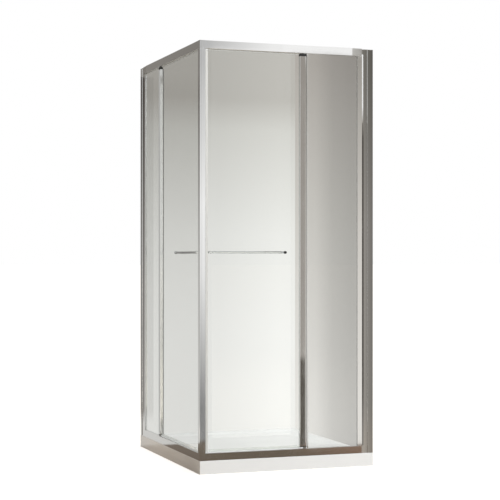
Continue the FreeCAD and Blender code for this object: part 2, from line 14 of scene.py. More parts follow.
import bmesh
import bpy
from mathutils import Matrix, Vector


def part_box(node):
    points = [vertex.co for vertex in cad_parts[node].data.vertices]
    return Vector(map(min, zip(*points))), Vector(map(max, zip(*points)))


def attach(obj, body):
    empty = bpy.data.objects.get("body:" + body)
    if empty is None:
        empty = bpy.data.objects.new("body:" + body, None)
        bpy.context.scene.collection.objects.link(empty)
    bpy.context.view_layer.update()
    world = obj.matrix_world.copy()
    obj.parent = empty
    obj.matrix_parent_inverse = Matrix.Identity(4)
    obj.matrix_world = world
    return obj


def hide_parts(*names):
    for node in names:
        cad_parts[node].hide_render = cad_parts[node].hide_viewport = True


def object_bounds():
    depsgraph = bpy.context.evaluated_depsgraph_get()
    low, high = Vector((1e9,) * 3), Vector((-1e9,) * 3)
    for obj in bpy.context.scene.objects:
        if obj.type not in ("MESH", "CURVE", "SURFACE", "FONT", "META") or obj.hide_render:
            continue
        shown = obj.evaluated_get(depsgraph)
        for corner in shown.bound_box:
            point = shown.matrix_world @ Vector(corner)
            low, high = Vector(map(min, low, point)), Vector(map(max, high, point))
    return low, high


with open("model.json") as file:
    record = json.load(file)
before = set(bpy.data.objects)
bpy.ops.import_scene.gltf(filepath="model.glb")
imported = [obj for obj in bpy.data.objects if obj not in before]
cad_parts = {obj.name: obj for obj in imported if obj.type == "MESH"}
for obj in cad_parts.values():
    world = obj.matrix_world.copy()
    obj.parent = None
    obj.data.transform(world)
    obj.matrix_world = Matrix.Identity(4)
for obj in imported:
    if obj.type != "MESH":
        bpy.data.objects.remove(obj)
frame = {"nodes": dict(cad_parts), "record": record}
cad_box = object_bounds()
nodes = frame["nodes"]
print("box in metres:", [round(v, 3) for corner in cad_box for v in corner])

# %% [markdown]
# ## The camera
#
# The picture is taken at chest height with a long lens, from the left of the near corner, and upright
# edges stay upright in it. Tilting the camera would make the posts lean. So it stays level, and the
# frame is moved up with the lens shift instead, as is usual in pictures of buildings.

# %% Camera
MM = 0.001
QUARTER_TURN = math.radians(90)
SENSOR_MM = 36.0
PICTURE_SIDE = 500
FOCAL_PIXELS = 1417
HORIZON_ROW = 258.3
EYE = Vector((-2.470, -6.958, 1.028))
TURN_DEG = -19.50

bpy.ops.object.camera_add(location=EYE, rotation=(QUARTER_TURN, 0, math.radians(TURN_DEG)))
camera = bpy.context.object
camera.data.sensor_width = SENSOR_MM
camera.data.lens = SENSOR_MM * FOCAL_PIXELS / PICTURE_SIDE
camera.data.shift_y = HORIZON_ROW / PICTURE_SIDE - 0.5
bpy.context.scene.camera = camera
print("lens in mm:", round(camera.data.lens, 1))

# %% [markdown]
# ## Helpers for colours and patterns
#
# Colours are easiest to choose as the hex values of a paint program, but shaders count light, which is
# linear. One function turns the first into the second. The others give a pattern the scale that makes
# its marks a real size, and a colour ramp its tones.

# %% Helpers for colours and patterns
def linear(hex_colour):
    """An sRGB hex colour as the linear colour that a shader takes."""
    shares = [int(hex_colour[at:at + 2], 16) / 255 for at in (1, 3, 5)]
    return (*[c / 12.92 if c <= 0.04045 else ((c + 0.055) / 1.055) ** 2.4 for c in shares], 1.0)


def scale_for(size_mm):
    """The scale of a pattern whose marks are about size_mm across."""
    return 1 / (size_mm * MM)


def paint(ramp, *tones):
    """Gives the stops of a colour ramp their tones, from left to right, and returns its colour."""
    for stop, tone in zip(ramp.color_ramp.elements, tones):
        stop.color = linear(tone)
    return ramp.outputs["Color"]


print("white paper in linear light:", [round(c, 3) for c in linear("#F2F2F2")[:3]])

# %% [markdown]
# ## Helpers for materials
#
# Every material here is one Principled shader with a few nodes before it. One function adds a node: its
# plain settings, its socket values, and a link wherever a value is another node's output. Sockets that
# share a name with another are given by number. The other two start a material and link to its shader
# what varies over the surface. A value that is the same all over is set on the shader itself.

# %% Helpers for materials
FROM_LOW, FROM_HIGH, TO_LOW, TO_HIGH = 1, 2, 3, 4  # sockets of a Map Range node


def add(tree, kind, sockets=None, **settings):
    """Adds one node. A socket's value is a plain value, or another node's output, which is linked."""
    node = tree.nodes.new("ShaderNode" + kind)
    for name, value in settings.items():
        setattr(node, name, value)
    for name, value in (sockets or {}).items():
        if isinstance(value, bpy.types.NodeSocket):
            tree.links.new(value, node.inputs[name])
        else:
            node.inputs[name].default_value = value
    return node


def new_finish(name, **values):
    """A material with one Principled shader, whose constant values are set on its own sockets."""
    material = bpy.data.materials.new(name)
    material.use_nodes = True
    shader = material.node_tree.nodes["Principled BSDF"]
    for socket, value in values.items():
        shader.inputs[socket.replace("_", " ")].default_value = value
    return material, material.node_tree, shader


def link(tree, shader, **sources):
    """Links outputs to the sockets of a shader."""
    for socket, source in sources.items():
        tree.links.new(source, shader.inputs[socket.replace("_", " ")])


print("material helpers: add, new_finish, link")

# %% [markdown]
# ## Polished aluminium
#
# The rails, posts and stiles are extruded aluminium, polished and bright anodised. The polish makes
# them mirror what stands round them, and the die leaves fine lines along the length that widen each
# reflection a little. Lines so fine can't be modelled one by one, so they are a noise pattern drawn out
# along the profile. There is one material for each of the three directions that a profile can run in.

# %% Polished aluminium
DIE_LINE_MM = 1.6  # real die lines are about 0.2 mm apart; drawn coarser so that they show
DIE_LINE_LENGTH_MM = 420.0
DIE_LINE_DEPTH_MM = 0.05
POLISH_PATCH_MM = 180.0


def polished_aluminium(run):
    """Bright anodised extrusion whose die lines follow axis run: 0 is X, 1 is Y, 2 is Z."""
    material, tree, shader = new_finish("polished_aluminium_" + "xyz"[run], Metallic=1.0)
    scale = [scale_for(DIE_LINE_MM)] * 3
    scale[run] = scale_for(DIE_LINE_LENGTH_MM)
    place = add(tree, "TexCoord").outputs["Object"]
    drawn = add(tree, "Mapping", {"Vector": place, "Scale": scale}).outputs["Vector"]
    lines = add(tree, "TexNoise", {"Vector": drawn, "Scale": 1.0, "Detail": 3.0}).outputs["Fac"]
    patch_noise = {"Vector": place, "Scale": scale_for(POLISH_PATCH_MM), "Detail": 2.0}
    patches = add(tree, "TexNoise", patch_noise).outputs["Fac"]
    uneven = add(tree, "Math", {0: lines, 1: patches}, operation="MULTIPLY").outputs[0]
    sheen = {"Value": uneven, FROM_LOW: 0.1, FROM_HIGH: 0.45, TO_LOW: 0.045, TO_HIGH: 0.12}
    roughness = add(tree, "MapRange", sheen).outputs[0]
    shade = paint(add(tree, "ValToRGB", {"Fac": lines}), "#EAEAE9", "#F6F6F5")
    bump = {"Height": lines, "Strength": 0.05, "Distance": DIE_LINE_DEPTH_MM * MM}
    relief = add(tree, "Bump", bump).outputs["Normal"]
    link(tree, shader, Base_Color=shade, Roughness=roughness, Normal=relief)
    return material


aluminium = [polished_aluminium(run) for run in range(3)]
print("aluminium:", [m.name for m in aluminium])

# %% [markdown]
# ## Satin end pieces
#
# A short cast piece closes each top rail at its far end. It is zinc with a satin finish, so it stays an
# even grey where the polished rail beside it flashes white. Blasting gives it that soft look. The grain
# is too fine to model, so a noise of its size varies the roughness and the bump, and a broader one the
# tone.

# %% Satin zinc
BLAST_GRAIN_MM = 0.9
BLAST_DEPTH_MM = 0.05
CAST_CLOUD_MM = 25.0


def satin_zinc():
    material, tree, shader = new_finish("satin_zinc", Metallic=1.0)
    place = add(tree, "TexCoord").outputs["Object"]
    grain_noise = {"Vector": place, "Scale": scale_for(BLAST_GRAIN_MM), "Detail": 2.0}
    grain = add(tree, "TexNoise", grain_noise).outputs["Fac"]
    cloud = add(tree, "TexNoise", {"Vector": place, "Scale": scale_for(CAST_CLOUD_MM)}).outputs["Fac"]
    shade = paint(add(tree, "ValToRGB", {"Fac": cloud}), "#DAD9D6", "#E4E3E0")
    roughness = add(tree, "MapRange", {"Value": grain, TO_LOW: 0.34, TO_HIGH: 0.46}).outputs[0]
    bump = {"Height": grain, "Strength": 0.12, "Distance": BLAST_DEPTH_MM * MM}
    relief = add(tree, "Bump", bump).outputs["Normal"]
    link(tree, shader, Base_Color=shade, Roughness=roughness, Normal=relief)
    return material


end_zinc = satin_zinc()
print("end pieces:", end_zinc.name)

# %% [markdown]
# ## Toughened glass
#
# The panes are 6 mm clear float glass, which iron tints a little green, most of all at the edges.
# Toughening carries the hot pane over rollers, and that leaves a faint wave that only reflections show.
# A mesh fine enough for the wave would be heavy, so it is a bump of a long period. The tint is the
# shader's own colour, so light takes it on each time it crosses a surface.

# %% Toughened glass
GLASS_IOR = 1.52
ROLLER_WAVE_MM = 280.0
ROLLER_WAVE_DEPTH_MM = 0.4
WIPE_MARK_MM = 90.0


def toughened_glass():
    tint = linear("#F7F8F5")
    constants = {"Base_Color": tint, "Transmission_Weight": 1.0, "IOR": GLASS_IOR}
    material, tree, shader = new_finish("toughened_glass", **constants)
    place = add(tree, "TexCoord").outputs["Object"]
    wave_noise = {"Vector": place, "Scale": scale_for(ROLLER_WAVE_MM), "Detail": 1.0}
    wave = add(tree, "TexNoise", wave_noise).outputs["Fac"]
    bump = {"Height": wave, "Strength": 0.04, "Distance": ROLLER_WAVE_DEPTH_MM * MM}
    relief = add(tree, "Bump", bump).outputs["Normal"]
    wipe_noise = {"Vector": place, "Scale": scale_for(WIPE_MARK_MM), "Detail": 4.0}
    wiped = add(tree, "TexNoise", wipe_noise).outputs["Fac"]
    film = {"Value": wiped, FROM_LOW: 0.5, FROM_HIGH: 0.8, TO_LOW: 0.0, TO_HIGH: 0.012}
    roughness = add(tree, "MapRange", film).outputs[0]
    link(tree, shader, Roughness=roughness, Normal=relief)
    return material


glass = toughened_glass()
print("glass:", glass.name)

# %% [markdown]
# ## Ground glass edges
#
# Before a pane is toughened its edges are ground, and the two sharp arrises are taken off at a slant. A
# ground edge is frosted, and because one looks along the whole pane there, it is clearly green. The
# real green comes from the depth of the glass. Here it is the same glass with a rough surface and a
# tint of its own, which is simpler and renders faster.

# %% Ground glass edge
GRIT_MM = 0.5  # real grinding marks are about 0.1 mm; drawn coarser so that they show
GRIT_DEPTH_MM = 0.05


def ground_edge():
    material, tree, shader = new_finish("ground_glass_edge", Transmission_Weight=1.0, IOR=GLASS_IOR)
    place = add(tree, "TexCoord").outputs["Object"]
    grit_noise = {"Vector": place, "Scale": scale_for(GRIT_MM), "Detail": 2.0}
    grit = add(tree, "TexNoise", grit_noise).outputs["Fac"]
    shade = paint(add(tree, "ValToRGB", {"Fac": grit}), "#CFE0D8", "#DDEAE3")
    roughness = add(tree, "MapRange", {"Value": grit, TO_LOW: 0.35, TO_HIGH: 0.5}).outputs[0]
    bump = {"Height": grit, "Strength": 0.2, "Distance": GRIT_DEPTH_MM * MM}
    relief = add(tree, "Bump", bump).outputs["Normal"]
    link(tree, shader, Base_Color=shade, Roughness=roughness, Normal=relief)
    return material


glass_edge = ground_edge()
print("glass edge:", glass_edge.name)

# %% [markdown]
# ## White acrylic
#
# The tray is a sheet of white acrylic drawn over a mould and backed with resin. The drawn sheet is
# glossy with a very slight orange peel, and the floor of the tray has fine dimples that keep a wet foot
# from slipping. There are thousands of them, so a pattern of cells gives them as a bump, which fades in
# below the rim, by height.

# %% White acrylic
ORANGE_PEEL_MM = 14.0
ORANGE_PEEL_DEPTH_MM = 0.3
DIMPLE_MM = 7.0
DIMPLE_DEPTH_MM = 0.4
DIMPLES_START, DIMPLES_FULL = 0.0615, 0.0605  # heights in metres between which they fade in
SHEET_CLOUD_MM = 220.0


def white_acrylic():
    material, tree, shader = new_finish("white_acrylic", IOR=1.49)
    place = add(tree, "TexCoord").outputs["Object"]
    peel_noise = {"Vector": place, "Scale": scale_for(ORANGE_PEEL_MM), "Detail": 1.0}
    peel = add(tree, "TexNoise", peel_noise).outputs["Fac"]
    peel_bump = {"Height": peel, "Strength": 0.05, "Distance": ORANGE_PEEL_DEPTH_MM * MM}
    smooth = add(tree, "Bump", peel_bump).outputs["Normal"]
    dimples = add(tree, "TexVoronoi", {"Vector": place, "Scale": scale_for(DIMPLE_MM)}).outputs["Distance"]
    height = add(tree, "SeparateXYZ", {"Vector": place}).outputs["Z"]
    fade = {"Value": height, FROM_LOW: DIMPLES_START, FROM_HIGH: DIMPLES_FULL, TO_LOW: 0.0, TO_HIGH: 1.0}
    floor_share = add(tree, "MapRange", fade).outputs[0]
    floor_dimples = add(tree, "Math", {0: dimples, 1: floor_share}, operation="MULTIPLY").outputs[0]
    dimple_bump = {"Height": floor_dimples, "Strength": 0.25, "Distance": DIMPLE_DEPTH_MM * MM}
    relief = add(tree, "Bump", {"Normal": smooth, **dimple_bump}).outputs["Normal"]
    cloud_noise = {"Vector": place, "Scale": scale_for(SHEET_CLOUD_MM), "Detail": 3.0}
    cloud = add(tree, "TexNoise", cloud_noise).outputs["Fac"]
    shade = paint(add(tree, "ValToRGB", {"Fac": cloud}), "#EDF0F2", "#F1F4F6")
    sheen = {"Value": cloud, FROM_LOW: 0.3, FROM_HIGH: 0.7, TO_LOW: 0.12, TO_HIGH: 0.2}
    roughness = add(tree, "MapRange", sheen).outputs[0]
    link(tree, shader, Base_Color=shade, Roughness=roughness, Normal=relief)
    return material


tray_acrylic = white_acrylic()
tray_low, tray_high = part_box("shower_tray")
print("tray:", tray_acrylic.name, "height in mm:", round((tray_high.z - tray_low.z) / MM))

# %% [markdown]
# ## Black nylon
#
# The stile caps, the pivot blocks and the fixing of the front handle are moulded nylon. The mould is
# spark eroded, which leaves a fine even grain, and the nylon is a matt near black. One noise gives the
# tone, the roughness and the bump together, because on the real grain all three change at the same
# spots.

# %% Black nylon
MOULD_GRAIN_MM = 0.6
MOULD_GRAIN_DEPTH_MM = 0.05


def moulded_nylon():
    material, tree, shader = new_finish("moulded_nylon", IOR=1.53)
    place = add(tree, "TexCoord").outputs["Object"]
    grain_noise = {"Vector": place, "Scale": scale_for(MOULD_GRAIN_MM), "Detail": 2.0}
    grain = add(tree, "TexNoise", grain_noise).outputs["Fac"]
    shade = paint(add(tree, "ValToRGB", {"Fac": grain}), "#0E0E0F", "#1B1B1C")
    roughness = add(tree, "MapRange", {"Value": grain, TO_LOW: 0.38, TO_HIGH: 0.55}).outputs[0]
    bump = {"Height": grain, "Strength": 0.2, "Distance": MOULD_GRAIN_DEPTH_MM * MM}
    relief = add(tree, "Bump", bump).outputs["Normal"]
    link(tree, shader, Base_Color=shade, Roughness=roughness, Normal=relief)
    return material


nylon = moulded_nylon()
print("caps:", nylon.name)

# %% [markdown]
# ## Clear seals
#
# The sweep under each door is extruded clear PVC, which nearly disappears on the glass. It is a little
# softer to the eye than glass, because the extruder leaves faint streaks along it. So it is a second
# glass with a touch of roughness that follows the streaks.

# %% Clear PVC
STREAK_MM = 2.5
STREAK_LENGTH_MM = 160.0
STREAK_DEPTH_MM = 0.05


def clear_pvc():
    material, tree, shader = new_finish("clear_pvc", Transmission_Weight=1.0, IOR=1.53)
    place = add(tree, "TexCoord").outputs["Object"]
    scale = (scale_for(STREAK_MM), scale_for(STREAK_MM), scale_for(STREAK_LENGTH_MM))
    drawn = add(tree, "Mapping", {"Vector": place, "Scale": scale}).outputs["Vector"]
    streaks = add(tree, "TexNoise", {"Vector": drawn, "Scale": 1.0, "Detail": 2.0}).outputs["Fac"]
    shade = paint(add(tree, "ValToRGB", {"Fac": streaks}), "#F1F3F1", "#FAFBFA")
    roughness = add(tree, "MapRange", {"Value": streaks, TO_LOW: 0.02, TO_HIGH: 0.08}).outputs[0]
    bump = {"Height": streaks, "Strength": 0.05, "Distance": STREAK_DEPTH_MM * MM}
    relief = add(tree, "Bump", bump).outputs["Normal"]
    link(tree, shader, Base_Color=shade, Roughness=roughness, Normal=relief)
    return material


seal_pvc = clear_pvc()
print("seals:", seal_pvc.name)

# %% [markdown]
# ## Rubber, bonding tape and soft lips
#
# Gaskets and groove covers are extruded rubber: matt, a soft light grey, and a little dusty where it
# has been handled. The bead on the side door is dark rubber, the foot of a handle that has no hole
# behind it is held by a pad of pale grey bonding tape, and the lips round a door are soft milky PVC.
# The magnet strips on the post and on the door's edge are PVC too, made opaque by the magnet inside.
# All five are the same matt material in different tones, so one function makes them.

# %% Rubber, bonding tape and soft PVC
DUST_MM = 12.0


def dusty_rubber(name, dark, light):
    material, tree, shader = new_finish(name, IOR=1.5)
    place = add(tree, "TexCoord").outputs["Object"]
    dust_noise = {"Vector": place, "Scale": scale_for(DUST_MM), "Detail": 5.0}
    dust = add(tree, "TexNoise", dust_noise).outputs["Fac"]
    shade = paint(add(tree, "ValToRGB", {"Fac": dust}), dark, light)
    roughness = add(tree, "MapRange", {"Value": dust, TO_LOW: 0.55, TO_HIGH: 0.75}).outputs[0]
    link(tree, shader, Base_Color=shade, Roughness=roughness)
    return material


rubber = dusty_rubber("grey_rubber", "#A9ABAB", "#BDBFBE")
dark_rubber = dusty_rubber("dark_rubber", "#505251", "#606261")
tape = dusty_rubber("bonding_tape", "#B4B6B6", "#C6C8C8")
milky_pvc = dusty_rubber("milky_pvc", "#E2E4E2", "#EEF0EE")
magnet_pvc = dusty_rubber("magnet_pvc", "#CDCFCD", "#D7D9D7")
print("soft materials:", [m.name for m in (rubber, dark_rubber, tape, milky_pvc, magnet_pvc)])

# %% [markdown]
# ## Stainless steel and chrome
#
# The screws and pivot pins are stainless steel, turned on a lathe and left satin. The handle bars,
# their posts and the waste are brass under bright chrome, which is cooler and darker than aluminium and
# mirrors more sharply. Both are metals with the default index, so only their colour and their roughness
# tell them apart.

# %% Steel and chrome
def bare_metal(name, dark, light, smooth, rough, spot_mm):
    """A metal whose sheen varies in soft spots about spot_mm across."""
    material, tree, shader = new_finish(name, Metallic=1.0)
    place = add(tree, "TexCoord").outputs["Object"]
    spot_noise = {"Vector": place, "Scale": scale_for(spot_mm), "Detail": 3.0}
    spots = add(tree, "TexNoise", spot_noise).outputs["Fac"]
    shade = paint(add(tree, "ValToRGB", {"Fac": spots}), dark, light)
    sheen = {"Value": spots, FROM_LOW: 0.3, FROM_HIGH: 0.7, TO_LOW: smooth, TO_HIGH: rough}
    roughness = add(tree, "MapRange", sheen).outputs[0]
    link(tree, shader, Base_Color=shade, Roughness=roughness)
    return material


stainless = bare_metal("satin_stainless_steel", "#BDBCB8", "#CFCECA", smooth=0.22, rough=0.34, spot_mm=1.5)
chrome = bare_metal("bright_chrome", "#BCBFC1", "#C9CCCD", smooth=0.03, rough=0.07, spot_mm=30)
print("metals:", stainless.name, chrome.name)

# %% [markdown]
# ## Giving each part its finish
#
# The construction already says which material slot each part belongs to. A dictionary from slot to
# finish does the rest. A few need a second look: aluminium, whose die lines run along the longest side
# of the part's box, the magnet strips, the pads of bonding tape, and the fixing on the side door, which
# is bright where the front one is black.

# %% Assign the finishes
FINISHES = {
    "end_grey": end_zinc,
    "glass": glass,
    "tray_white": tray_acrylic,
    "black_nylon": nylon,
    "clear_pvc": seal_pvc,
    "grey_rubber": rubber,
    "steel": stainless,
    "chrome": chrome,
}
SPECIAL_FINISHES = {"handle_pad": tape, "_magnet": magnet_pvc, "side_handle_fixing": chrome}


def long_axis(name):
    low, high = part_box(name)
    sides = list(high - low)
    return sides.index(max(sides))


def finish_for(name, slot):
    for ending, finish in SPECIAL_FINISHES.items():
        if name.endswith(ending):
            return finish
    return aluminium[long_axis(name)] if slot == "aluminium" else FINISHES[slot]


slot_of = {part["node"]: part["material_slot"] for part in frame["record"]["subparts"]}
for name, part in nodes.items():
    part.data.materials.clear()
    part.data.materials.append(finish_for(name, slot_of[name]))
    part.visible_shadow = slot_of[name] not in ("glass", "clear_pvc")
print("finished parts:", len(slot_of))

# %% [markdown]
# ## Modelling helpers
#
# The remaining pieces are modelled with Blender's own operators, the same ones that a hand would use.
# An operator acts on whatever is selected, so three habits keep it safe: clear the selection before a
# primitive is added, pick faces in code by where they point, and bake the object's place into its mesh
# at the end.

# %% Helpers for selecting
FACING = 0.9  # a face whose normal has this much of a direction points that way


def clear_selection():
    if bpy.context.mode != "OBJECT":
        bpy.ops.object.mode_set(mode="OBJECT")
    bpy.ops.object.select_all(action="DESELECT")


def select_only(piece):
    clear_selection()
    piece.select_set(True)
    bpy.context.view_layer.objects.active = piece


def pick_faces(test):
    """In edit mode, selects the faces that pass the test and nothing else."""
    bpy.ops.mesh.select_mode(type="FACE")
    bpy.ops.mesh.select_all(action="DESELECT")
    mesh = bpy.context.edit_object.data
    for face in bmesh.from_edit_mesh(mesh).faces:
        face.select_set(test(face))
    bmesh.update_edit_mesh(mesh)


print("helpers: clear_selection, select_only, pick_faces")

# %% [markdown]
# Four more helpers take up what every piece needs: a block to start from, a modifier that is applied at
# once, a cut with another shape, and the materials and body that a finished piece gets. A modifier that
# is applied leaves a plain mesh.

# %% Helpers for shaping
def block(name, low, high):
    """A cube between two corners, to be shaped further."""
    clear_selection()
    bpy.ops.mesh.primitive_cube_add(size=1, location=(low + high) / 2, scale=high - low)
    bpy.ops.object.transform_apply(location=True, rotation=False, scale=True)
    piece = bpy.context.object
    piece.name = name
    return piece


def modify(piece, name, kind, **settings):
    """Adds a modifier to the piece and applies it."""
    select_only(piece)
    modifier = piece.modifiers.new(name, kind)
    for setting, value in settings.items():
        setattr(modifier, setting, value)
    bpy.ops.object.modifier_apply(modifier=modifier.name)


def cut_out(piece, cutter):
    """Takes the cutter's shape out of the piece and removes the cutter."""
    modify(piece, "cut_out", "BOOLEAN", operation="DIFFERENCE", solver="EXACT", object=cutter)
    bpy.data.objects.remove(cutter)


def dress(piece, body, slot, *materials):
    """Gives a finished piece its materials and the body that it moves with; slot is not used."""
    piece.data.materials.clear()
    for material in materials:
        piece.data.materials.append(material)
    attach(piece, body)


print("helpers: block, modify, cut_out, dress")

# %% [markdown]
# ## Glass panes
#
# A real pane isn't a sharp-edged box: its arrises are ground off by about a millimetre, and the hole
# for the handle's fixing is chamfered in the same way. Each pane starts as a block of the pane's size,
# the hole is cut with a cylinder, and a bevel takes off every sharp edge at once, which is quicker than
# cutting each one. The two large faces keep the polished glass, and all other faces get the ground
# edge.

# %% Glass panes
ARRIS = 0.8 * MM
HAIR = 0.05 * MM  # the seals would otherwise share a face with the glass
HOLE_R = 4.5 * MM
HOLE_SIDES = 48
CUTTER_LENGTH = 0.05
LARGE_FACE = 0.99  # how squarely a face of the polished glass looks through the pane
HANDLE_HEIGHT = 1.0565
HOLE_FROM_CORNER = 0.438


def glass_pane(node, body, thin, hole=None):
    """A pane in place of a construction node. thin is the axis through it, hole a point in the hole."""
    low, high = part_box(node)
    low[thin] += HAIR
    high[thin] -= HAIR
    pane = block(node + "_ground", low, high)
    if hole:
        turn = (QUARTER_TURN, 0, 0) if thin == 1 else (0, QUARTER_TURN, 0)
        clear_selection()
        bpy.ops.mesh.primitive_cylinder_add(
            vertices=HOLE_SIDES, radius=HOLE_R, depth=CUTTER_LENGTH, location=hole, rotation=turn)
        cut_out(pane, bpy.context.object)
    modify(pane, "arris", "BEVEL", width=ARRIS, segments=1, limit_method="ANGLE")
    dress(pane, body, "glass", glass, glass_edge)
    for face in pane.data.polygons:
        face.material_index = 0 if abs(face.normal[thin]) > LARGE_FACE else 1
    pane.visible_shadow = False
    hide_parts(node)
    return pane


corner_x, corner_y = cad_box[0].x, cad_box[0].y
front_hole = (corner_x + HOLE_FROM_CORNER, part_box("front_door_glass")[0].y, HANDLE_HEIGHT)
side_hole = (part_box("side_door_glass")[0].x, corner_y + HOLE_FROM_CORNER, HANDLE_HEIGHT)
panes = [
    glass_pane("front_door_glass", "front_door", 1, front_hole),
    glass_pane("side_door_glass", "side_door", 0, side_hole),
    glass_pane("front_inline_pane", "frame", 1),
    glass_pane("side_inline_pane", "frame", 0),
]
print("panes:", [(pane.name, len(pane.data.polygons)) for pane in panes])

# %% [markdown]
# ## Pan-head screws
#
# The rails and wall posts are held by small stainless screws whose heads show on the inside. The head
# is a flat dome with a cross recess. The recess could be a bump, but it catches the light on its own
# walls, so it is cut with two crossed blades that narrow downwards, as the tip of a screwdriver does.

# %% Blade for the recess
HEAD_HEIGHT = 2.4 * MM
BLADE = Vector((0.8, 4.0, 3.0)) * MM
BLADE_TAPER = 0.45
RECESS_DEPTH = 1.3 * MM


def recess_blade(turn):
    """A blade over the head, narrow at its lower end, that cuts one slot of the cross."""
    clear_selection()
    middle = (0, 0, HEAD_HEIGHT - RECESS_DEPTH + BLADE.z / 2)
    bpy.ops.mesh.primitive_cube_add(size=1, location=middle, rotation=(0, 0, turn), scale=BLADE)
    bpy.ops.object.transform_apply(location=True, rotation=True, scale=True)
    bpy.ops.object.mode_set(mode="EDIT")
    pick_faces(lambda face: face.normal.z < -FACING)
    bpy.ops.transform.resize(value=(BLADE_TAPER, BLADE_TAPER, 1), center_override=(0, 0, 0))
    bpy.ops.object.mode_set(mode="OBJECT")
    return bpy.context.object


print("recess depth in mm:", round(RECESS_DEPTH / MM, 1))

# %% [markdown]
# The screw itself starts as a cylinder. The top rim is bevelled into the dome, the underside is inset
# and extruded into the shank, and the two blades cut the cross. One screw of each length is modelled
# and then copied to its places.

# %% One screw
HEAD_R = 4.0 * MM
HEAD_SIDES = 32
DOME_ROUND = 1.5 * MM
DOME_STEPS = 5
SHANK_R = 2.0 * MM
TIP = 0.5 * MM
TIP_TAPER = 0.7
RAIL_BITE = 12.2 * MM
POST_BITE = 4.3 * MM


def pan_screw(bite):
    """A screw at the origin: the head's underside is at zero, the head points up, the shank down."""
    clear_selection()
    bpy.ops.mesh.primitive_cylinder_add(
        vertices=HEAD_SIDES, radius=HEAD_R, depth=HEAD_HEIGHT, location=(0, 0, HEAD_HEIGHT / 2))
    screw = bpy.context.object
    bpy.ops.object.transform_apply(location=True)
    bpy.ops.object.mode_set(mode="EDIT")
    pick_faces(lambda face: face.normal.z > FACING)
    bpy.ops.mesh.bevel(offset=DOME_ROUND, segments=DOME_STEPS, affect="EDGES")
    pick_faces(lambda face: face.normal.z < -FACING)
    bpy.ops.mesh.inset(thickness=HEAD_R - SHANK_R)
    bpy.ops.mesh.extrude_region_move(TRANSFORM_OT_translate={"value": (0, 0, TIP - bite)})
    bpy.ops.mesh.extrude_region_move(TRANSFORM_OT_translate={"value": (0, 0, -TIP)})
    bpy.ops.transform.resize(value=(TIP_TAPER, TIP_TAPER, 1), center_override=(0, 0, 0))
    bpy.ops.object.mode_set(mode="OBJECT")
    for turn in (0, QUARTER_TURN):
        cut_out(screw, recess_blade(turn))
    return screw


rail_screw = pan_screw(RAIL_BITE)
post_screw = pan_screw(POST_BITE)
print("screw faces:", len(rail_screw.data.polygons), len(post_screw.data.polygons))

# %% [markdown]
# A screw's place is the distance along the face from the near corner, and its height. On the front the
# head points inwards along Y, on the left along X. Copies that stand for one construction part are
# joined into one piece.

# %% Helper for the copies
SCREW_SMOOTH_DEG = 35


def set_screws(name, node, screw, turn, places):
    """Copies a screw to its places and joins the copies into one piece, in place of a construction node."""
    copies = []
    for place in places:
        copy = screw.copy()
        copy.data = screw.data.copy()
        bpy.context.collection.objects.link(copy)
        copy.location = place
        copy.rotation_euler = turn
        copies.append(copy)
    clear_selection()
    for copy in copies:
        copy.select_set(True)
    bpy.context.view_layer.objects.active = copies[0]
    bpy.ops.object.transform_apply(location=True, rotation=True, scale=True)
    bpy.ops.object.join()
    bpy.ops.object.shade_smooth_by_angle(angle=math.radians(SCREW_SMOOTH_DEG))
    piece = bpy.context.object
    piece.name = name
    dress(piece, "frame", "steel", stainless)
    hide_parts(node)
    return piece


print("screws are copied by one helper")

# %% [markdown]
# Both faces have the same screws: two in each rail, near its ends, and three up the wall post. Their
# places are distances from the near corner or back from the far end, so one loop serves the short face
# and the long one.

# %% Copies of the screws
HEAD_SEAT = 0.028  # the inner face of the profiles, from the outer one
WIDTH, DEPTH = cad_box[1].x - corner_x, cad_box[1].y - corner_y
FACES = {
    "front": (WIDTH, (-QUARTER_TURN, 0, 0), lambda along: (corner_x + along, corner_y + HEAD_SEAT)),
    "side": (DEPTH, (0, QUARTER_TURN, 0), lambda along: (corner_x + HEAD_SEAT, corner_y + along)),
}
NEAR_SCREW = 0.043
TOP_FAR_SCREW, LOW_FAR_SCREW, POST_SCREW = 0.124, 0.075, 0.0215  # back from the far end
TOP_SCREW_Z, LOW_SCREW_Z = 2.053, 0.076
POST_SCREW_HEIGHTS = (0.315, 1.0615, 1.808)

for face, (length, turn, at) in FACES.items():
    rail_places = [
        (*at(NEAR_SCREW), TOP_SCREW_Z),
        (*at(length - TOP_FAR_SCREW), TOP_SCREW_Z),
        (*at(NEAR_SCREW), LOW_SCREW_Z),
        (*at(length - LOW_FAR_SCREW), LOW_SCREW_Z),
    ]
    post_places = [(*at(length - POST_SCREW), z) for z in POST_SCREW_HEIGHTS]
    for kind, screw, places in (("rail", rail_screw, rail_places), ("post", post_screw, post_places)):
        piece = set_screws(f"{face}_{kind}_pan_screws", f"{face}_{kind}_screws", screw, turn, places)
        print(piece.name, "copies:", len(places))
for pattern in (rail_screw, post_screw):
    bpy.data.objects.remove(pattern)

# %% [markdown]
# ## Soft lips
#
# Two soft milky lips keep the water in. One under each door's sweep nearly touches the sill and throws
# the water back, and one hangs from the top rail and closes the gap above the door. A curve with a
# bevel could draw them too, but a strip shows better how a sheet is shaped. One long edge of it is
# extruded down and out in three short steps, which makes the curve, and a Solidify modifier gives it
# the thickness of a film.

# %% Lip helper
LIP_ROOT = 3.0 * MM
LIP_FILM = 0.5 * MM
LIP_SMOOTH_DEG = 50


